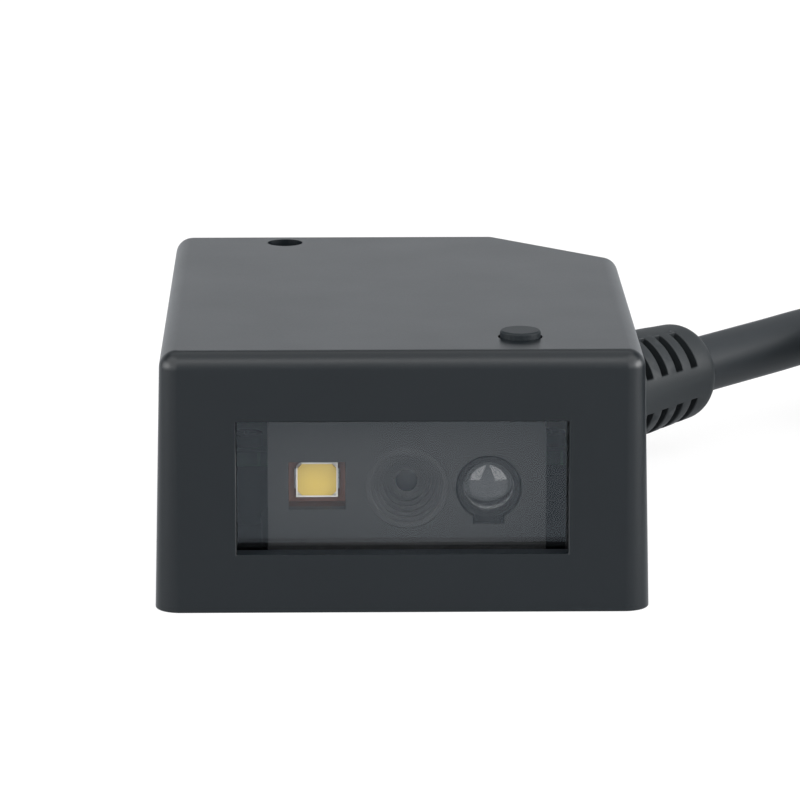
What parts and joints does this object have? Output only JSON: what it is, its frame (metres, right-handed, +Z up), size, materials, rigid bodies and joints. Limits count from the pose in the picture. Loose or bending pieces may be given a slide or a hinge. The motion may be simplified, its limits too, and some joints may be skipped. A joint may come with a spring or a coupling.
{
  "type": "fixed barcode reader",
  "caption": "Small black box-shaped barcode reader with a recessed tinted window, a push button on top, a cut rear corner and a coiled cable with a plug.",
  "frame": {"origin": "middle of the housing's base", "axes": "+Z up, window facing -Y, +X to the right seen from the window side"},
  "size_m": [0.1448, 0.1013, 0.0212],
  "materials": {
    "case_plastic": "fine satin moulded texture",
    "button_plastic": "satin",
    "window_tint": "polished tinted acrylic",
    "seal_foam": "matt foam",
    "screw_steel": "plated",
    "insert_brass": "turned",
    "switch_body": "moulded",
    "switch_black": "moulded",
    "board_green": "solder mask",
    "flex_film": "polyimide film",
    "engine_plastic": "matt moulded",
    "led_white": "moulded",
    "led_phosphor": "phosphor filled silicone",
    "led_metal": "tinned",
    "barrel_black": "matt ribbed",
    "optic_clear": "polished",
    "sensor_dark": "glass covered",
    "emitter_smoke": "smoky epoxy",
    "connector_ivory": "moulded",
    "chip_black": "moulded",
    "wire_red": "insulation",
    "cable_jacket": "matt jacket",
    "relief_rubber": "matt moulded",
    "tie_black": "woven hook and loop",
    "plug_plastic": "moulded",
    "plug_steel": "plated",
    "plug_white": "moulded",
    "contact_gold": "gilt"
  },
  "bodies": {
    "reader": {"housing": "case_plastic", "base_plate": "case_plastic", "window_pane": "window_tint", "window_seal": "seal_foam", "base_screws": "screw_steel", "engine_screws": "screw_steel", "sensor_screws": "screw_steel", "board_screws": "screw_steel", "mount_inserts": "insert_brass", "tact_switch": "switch_body", "button_board": "board_green", "sensor_board": "board_green", "decoder_board": "board_green", "button_flex": "flex_film", "flex_cable": "flex_film", "engine_chassis": "engine_plastic", "led_board": "led_white", "illumination_led": "led_white", "led_phosphor": "led_phosphor", "led_terminals": "led_metal", "lens_barrel": "barrel_black", "aimer_holder": "barrel_black", "front_lens": "optic_clear", "rear_lens": "optic_clear", "aimer_lens": "optic_clear", "image_sensor": "sensor_dark", "aimer_emitter": "emitter_smoke", "sensor_connector": "connector_ivory", "flex_connector": "connector_ivory", "cable_header": "connector_ivory", "inner_plug": "connector_ivory", "decoder_chip": "chip_black", "beeper": "chip_black", "wire_leads": "wire_red", "cable_lead": "cable_jacket", "cable_coil": "cable_jacket", "cable_tail": "cable_jacket", "strain_relief": "relief_rubber", "coil_tie": "tie_black", "plug_overmould": "plug_plastic", "plug_shell": "plug_steel", "plug_insulator": "plug_white", "plug_contacts": "contact_gold"},
    "button": {"trigger_button": "button_plastic", "switch_plunger": "switch_black"}
  },
  "joints": [
    {"name": "button_press", "type": "slide", "parent": "reader", "child": "button", "axis": [0, 0, -1], "range_m": [0, 0.00025], "stiffness_N_per_m": 800}
  ]
}
